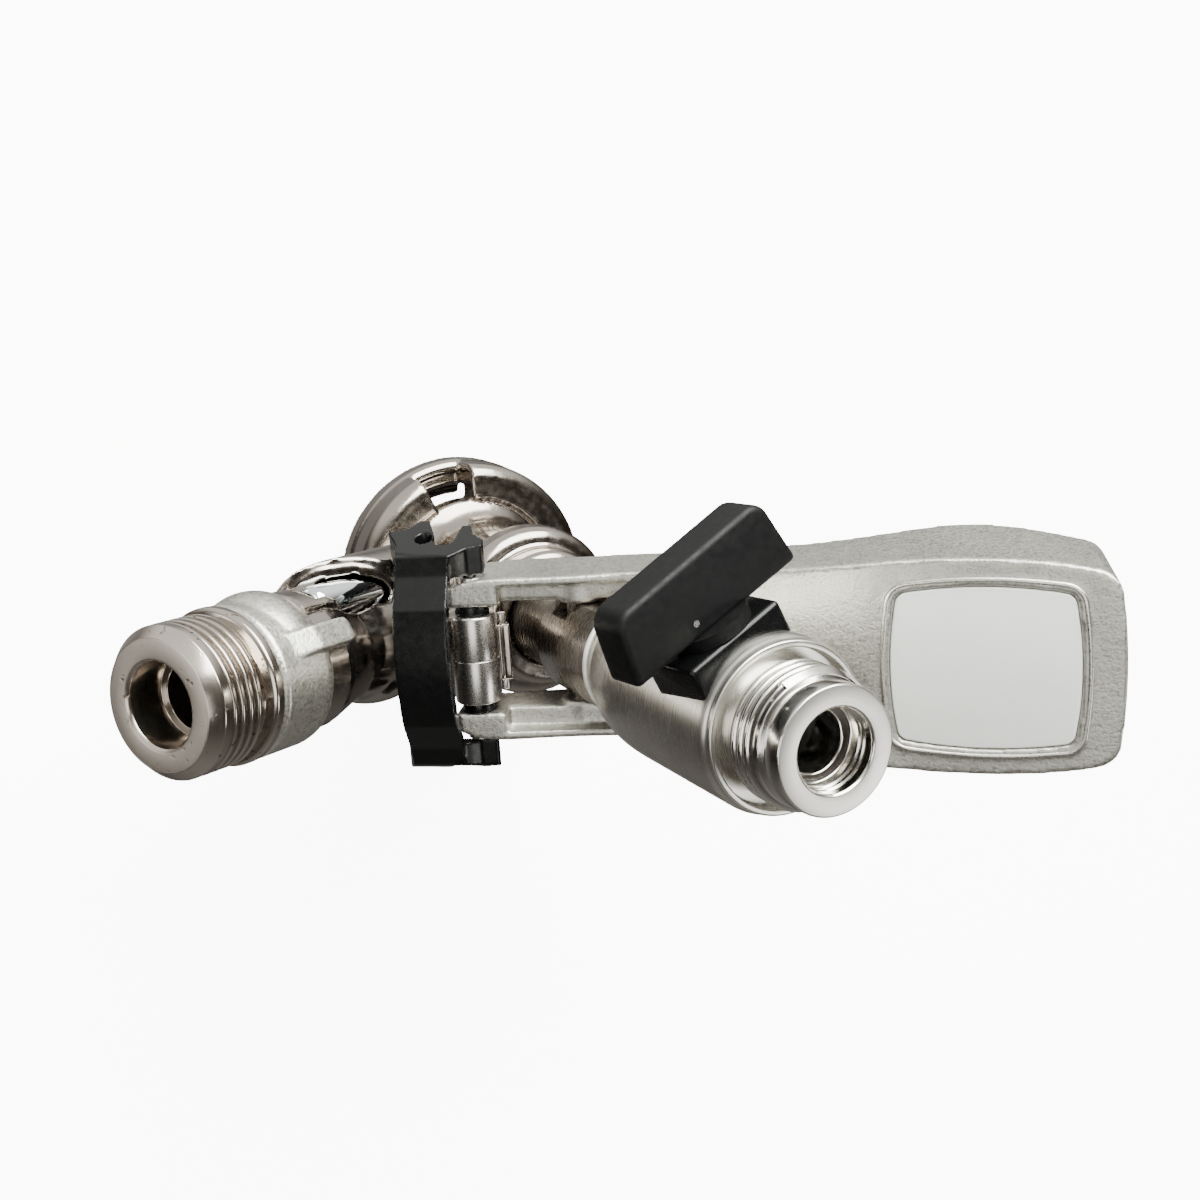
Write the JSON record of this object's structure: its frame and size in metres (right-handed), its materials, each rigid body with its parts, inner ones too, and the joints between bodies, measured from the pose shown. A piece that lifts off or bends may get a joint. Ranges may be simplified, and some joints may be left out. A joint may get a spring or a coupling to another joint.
{
  "type": "keg coupler",
  "caption": "Lever keg coupler with a bayonet base, slanted threaded gas inlet, relief valve, fork handle, sliding probe and a ball valve with wing lever on its threaded outlet.",
  "frame": {"origin": "middle of the base's lower face, where the coupler stands on a keg", "axes": "+Z along the probe towards the beer outlet, +X towards the handle, -X towards the gas inlet, hinge pin along Y"},
  "size_m": [0.1608, 0.0615, 0.1514],
  "materials": {
    "stainless": "polished cast stainless steel",
    "turned_steel": "turned stainless steel",
    "blasted_metal": "sand-blasted cast stainless steel",
    "handle_metal": "sand-blasted casting with polished edges",
    "chrome": "mirror polished",
    "badge": "bare off-white plate",
    "clip_plastic": "moulded black nylon",
    "lever_plastic": "moulded black nylon",
    "seal_rubber": "moulded nitrile rubber",
    "seat_plastic": "white fluoropolymer",
    "gasket": "bright turned ring",
    "spring_steel": "drawn wire"
  },
  "bodies": {
    "body": {"body_casting": "stainless", "base_seal": "seal_rubber", "gland_seal": "seal_rubber", "stop_pin": "chrome", "hinge_sleeves": "chrome", "hinge_washers": "turned_steel", "gas_collar": "blasted_metal", "gas_nipple": "turned_steel", "gas_lip_valve": "seal_rubber", "relief_housing": "chrome", "relief_spring": "spring_steel"},
    "handle": {"handle_casting": "handle_metal", "badge_plate": "badge", "hinge_pin": "turned_steel", "drive_pins": "turned_steel", "drive_rollers": "turned_steel", "hinge_clip": "clip_plastic"},
    "probe": {"probe_tube": "stainless", "probe_seal": "seal_rubber", "ball_cage": "turned_steel", "union_ring": "gasket", "valve_body": "turned_steel", "valve_seats": "seat_plastic", "stem_o_ring": "seal_rubber", "outlet_nipple": "turned_steel"},
    "valve": {"valve_ball": "chrome", "valve_stem": "turned_steel", "wing_lever": "lever_plastic", "lever_pin": "turned_steel"},
    "ball": {"check_ball": "chrome"},
    "poppet": {"relief_poppet": "turned_steel"}
  },
  "joints": [
    {"name": "handle_hinge", "type": "hinge", "parent": "body", "child": "handle", "pos_m": [-0.023, 0, 0.069], "axis": [0, 1, 0], "range_deg": [0, 41.4]},
    {"name": "probe_slide", "type": "slide", "parent": "body", "child": "probe", "axis": [0, 0, 1], "range_m": [-0.0144, 0.0001]},
    {"name": "valve_turn", "type": "hinge", "parent": "probe", "child": "valve", "pos_m": [0, 0, 0.1287], "axis": [-0.4226, 0.9063, 0], "range_deg": [0, 90]},
    {"name": "check_lift", "type": "slide", "parent": "probe", "child": "ball", "axis": [0, 0, 1], "range_m": [0, 0.0019]},
    {"name": "relief_lift", "type": "slide", "parent": "body", "child": "poppet", "axis": [-0.8529, 0.0596, 0.5186], "range_m": [0, 0.0015], "stiffness_N_per_m": 1500, "springref_m": -0.004}
  ],
  "couplings": [
    {"joint": "probe_slide", "follows": "handle_hinge", "m_per_rad": -0.01967}
  ]
}
